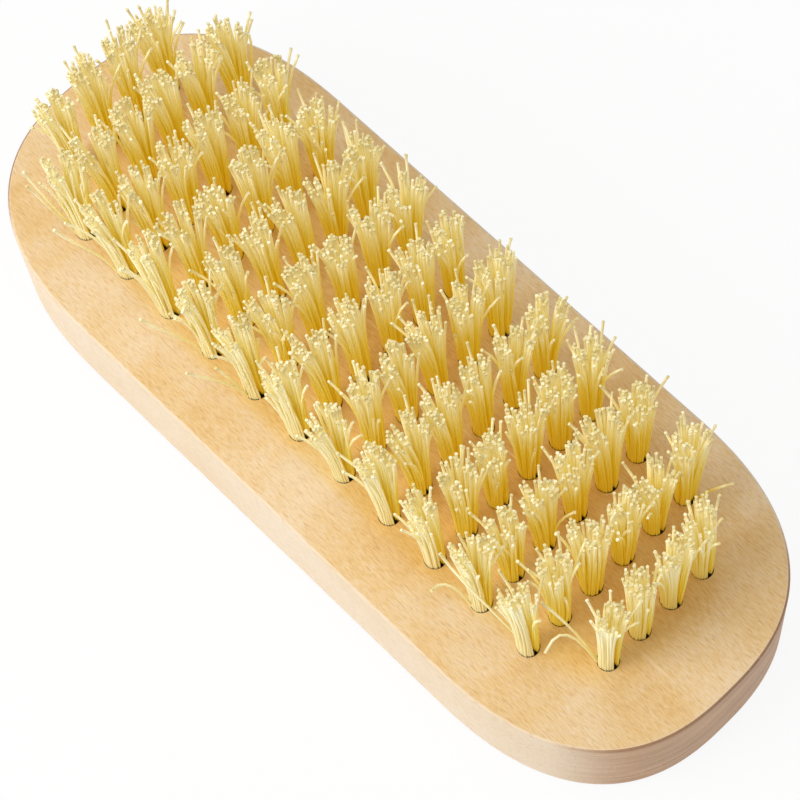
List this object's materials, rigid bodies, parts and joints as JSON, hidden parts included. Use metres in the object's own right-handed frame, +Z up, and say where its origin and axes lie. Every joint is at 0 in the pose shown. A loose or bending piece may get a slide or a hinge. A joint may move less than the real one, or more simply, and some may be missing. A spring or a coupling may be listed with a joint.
{
  "type": "nail brush",
  "caption": "Small wooden hand brush: a long block with rounded ends, slim tufts of cream bristle standing in drilled holes, and a flat bare back.",
  "frame": {"origin": "centre of the block's flat back, the face the brush lies on with its bristles up", "axes": "+X along the block, +Y across it, +Z up from the back through the bristles"},
  "size_m": [0.11, 0.0426, 0.0311],
  "materials": {
    "pale_wood": "sanded bare wood, fine short grain",
    "cream_bristle": "translucent cream fibre, paler at the cut tips",
    "anchor_wire": "flat drawn wire"
  },
  "bodies": {
    "root": {"block": "pale_wood", "tuft_line_1": "cream_bristle", "tuft_line_2": "cream_bristle", "tuft_line_3": "cream_bristle", "tuft_line_4": "cream_bristle", "tuft_line_5": "cream_bristle", "tuft_line_6": "cream_bristle", "anchor_line_1": "anchor_wire", "anchor_line_2": "anchor_wire", "anchor_line_3": "anchor_wire", "anchor_line_4": "anchor_wire", "anchor_line_5": "anchor_wire", "anchor_line_6": "anchor_wire"}
  },
  "joints": []
}
